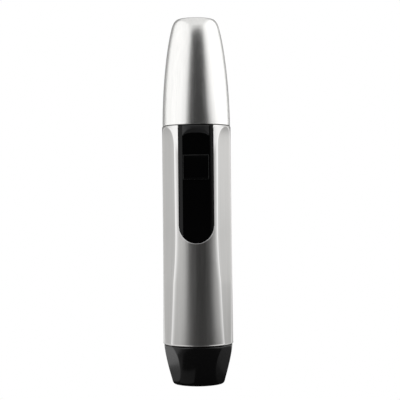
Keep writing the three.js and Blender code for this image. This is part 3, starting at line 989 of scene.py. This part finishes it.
def show_by_ray(nodes, links, lighting, seen, output):
    """Uses one stage shader for what is seen directly and a dimmer one for what lights the trimmer."""
    rays = nodes.new("ShaderNodeLightPath")
    choose = nodes.new("ShaderNodeMixShader")
    links.new(rays.outputs["Is Camera Ray"], choose.inputs["Fac"])
    links.new(lighting, choose.inputs[1])
    links.new(seen, choose.inputs[2])
    links.new(choose.outputs["Shader"], output.inputs["Surface"])


def make_floor():
    """The floor and the world behind it are one even white, so the camera looks through to the
    world. That keeps the base in sight where it is pulled down below the floor's level."""
    mesh = bpy.data.meshes.new("floor")
    mesh.from_pydata([(-4, -4, 0), (4, -4, 0), (4, 4, 0), (-4, 4, 0)], [], [(0, 1, 2, 3)])
    floor = bpy.data.objects.new("floor", mesh)
    bpy.context.scene.collection.objects.link(floor)
    pale = bpy.data.materials.new("pale_floor")
    pale.use_nodes = True
    nodes = pale.node_tree.nodes
    links = pale.node_tree.links
    nodes.remove(nodes["Principled BSDF"])
    matt = nodes.new("ShaderNodeBsdfDiffuse")
    matt.inputs["Color"].default_value = (FLOOR_GREY, FLOOR_GREY, FLOOR_GREY, 1)
    clear = nodes.new("ShaderNodeBsdfTransparent")
    show_by_ray(nodes, links, matt.outputs["BSDF"], clear.outputs["BSDF"], nodes["Material Output"])
    floor.data.materials.append(pale)


def make_world():
    """The world is white where the camera looks, and a dim studio for everything else."""
    world = bpy.data.worlds.new("studio")
    bpy.context.scene.world = world
    world.use_nodes = True
    nodes = world.node_tree.nodes
    dim = nodes["Background"]
    white = nodes.new("ShaderNodeBackground")
    for background, strength in [(dim, DIM_WORLD), (white, 1.0)]:
        background.inputs["Color"].default_value = (1, 1, 1, 1)
        background.inputs["Strength"].default_value = strength
    links = world.node_tree.links
    show_by_ray(nodes, links, dim.outputs["Background"], white.outputs["Background"], nodes["World Output"])


def side_panel(name, side, low, middle, end, front_radiance, radiance):
    """A panel up one side of the studio, whose front half metre has a brightness of its own. It
    leans forward from the floor to its middle and its top, so the dark gap between the two panels
    narrows upwards. Low and middle are how far forward it reaches there, and end is its back."""
    x = side * WALL_X
    front = [(x, low, 0.001), (x, low - 0.1, 0.05), (x, middle, 0.36), (x, -1.5, WALL_TOP)]
    behind = [(x, y + 0.5, z) for x, y, z in front]
    softbox("softbox_front_" + name, front + behind[::-1], front_radiance)
    softbox("softbox_" + name, behind + [(x, end, WALL_TOP), (x, end, 0.001)], radiance)


def card(name, outline, height, radiance):
    """A reflector card that lies flat, from its (x, y) corners. Cards that overlap differ in height."""
    softbox("card_" + name, [(x, y, height) for x, y in outline], radiance)


def side_card(name, side, inner, front, radiance):
    """A card beside the trimmer that widens away from it, as far as the side panel."""
    near = side * inner
    far = side * WALL_X
    card(name, [(near, 0.003), (far, front), (far, 1.0), (near, 1.0)], 0.002, radiance)


def low_panel(name, x):
    """A panel below the floor's level, which only lights what is pulled out underneath."""
    corners = [(x, 0.85, -0.001), (x, -0.7, -0.001), (x, -1.1, -0.6), (x, 0.85, -0.6)]
    softbox("softbox_low_" + name, corners, 1.2)


def make_stage():
    make_floor()
    make_world()
    side_panel("left", -1, low=-0.75, middle=-1.08, end=0.85, front_radiance=1.18, radiance=1.18)
    side_panel("right", 1, low=-0.62, middle=-1.27, end=0.7, front_radiance=0.95, radiance=1.34)
    back = [(-1.1, 1.1, 0.001), (1.1, 1.1, 0.001), (1.1, 1.1, WALL_TOP), (-1.1, 1.1, WALL_TOP)]
    softbox("softbox_back", back, 0.3)
    top = [(-1.4, -2.0, 1.6), (1.4, -2.0, 1.6), (1.4, 1.4, 1.6), (-1.4, 1.4, 1.6)]
    softbox("softbox_top", top, 0.85)
    side_card("left", -1, inner=0.022, front=-0.85, radiance=0.85)
    side_card("right", 1, inner=0.04, front=-0.95, radiance=0.7)
    # A dim card in front of the left one softens the left side of the dark band down the sleeve.
    card("fringe", [(-0.022, 0.003), (-0.8, -0.85), (-0.85, -1.15), (-0.46, -1.4)], 0.0015, 0.2)
    low_panel("left", -WALL_X)
    low_panel("right", WALL_X)
    # Small cards close to the base, which show in its facets.
    card("near_left", [(-0.012, -0.006), (-0.03, -0.02), (-0.03, 0.03), (-0.012, 0.015)], 0.0005, 0.3)
    card("front_left", [(-0.0105, -0.005), (-0.004, -0.011), (-0.006, -0.02), (-0.018, -0.01)], 0.0004, 0.2)
    card("near_right", [(0.018, 0.0), (0.018, 0.05), (0.05, 0.05), (0.05, 0.0)], 0.0005, 0.15)


# ---- Camera, in metres ------------------------------------------------------------------------------
CAMERA_AZIMUTH = math.radians(1.35)
CAMERA_ROLL = math.radians(-0.57)
CAMERA_DISTANCE = 0.436
CAMERA_HEIGHT = 0.07


def make_camera():
    """Level with the trimmer's middle, a little to the right of straight in front, and rolled a little."""
    data = bpy.data.cameras.new("camera")
    data.lens = 101.7
    data.sensor_width = 36.0
    data.shift_x = 0.0075
    data.shift_y = 0.0034
    data.clip_start = 0.01
    camera = bpy.data.objects.new("camera", data)
    bpy.context.scene.collection.objects.link(camera)
    x = CAMERA_DISTANCE * math.sin(CAMERA_AZIMUTH)
    camera.location = (x, -CAMERA_DISTANCE * math.cos(CAMERA_AZIMUTH), CAMERA_HEIGHT)
    level = Matrix.Rotation(CAMERA_AZIMUTH, 4, "Z") @ Matrix.Rotation(math.radians(90), 4, "X")
    camera.rotation_euler = (level @ Matrix.Rotation(CAMERA_ROLL, 4, "Z")).to_euler()
    bpy.context.scene.camera = camera
    bpy.context.scene.view_settings.view_transform = "Standard"


make_sleeve()
make_window_edge()
make_panel()
make_slider()
make_cap()
make_base()
make_collar()
make_guard()
make_neck()
make_springs()
make_base_seal()
make_cell()
finish_carried()
make_stage()
make_camera()

bpy.context.view_layer.update()
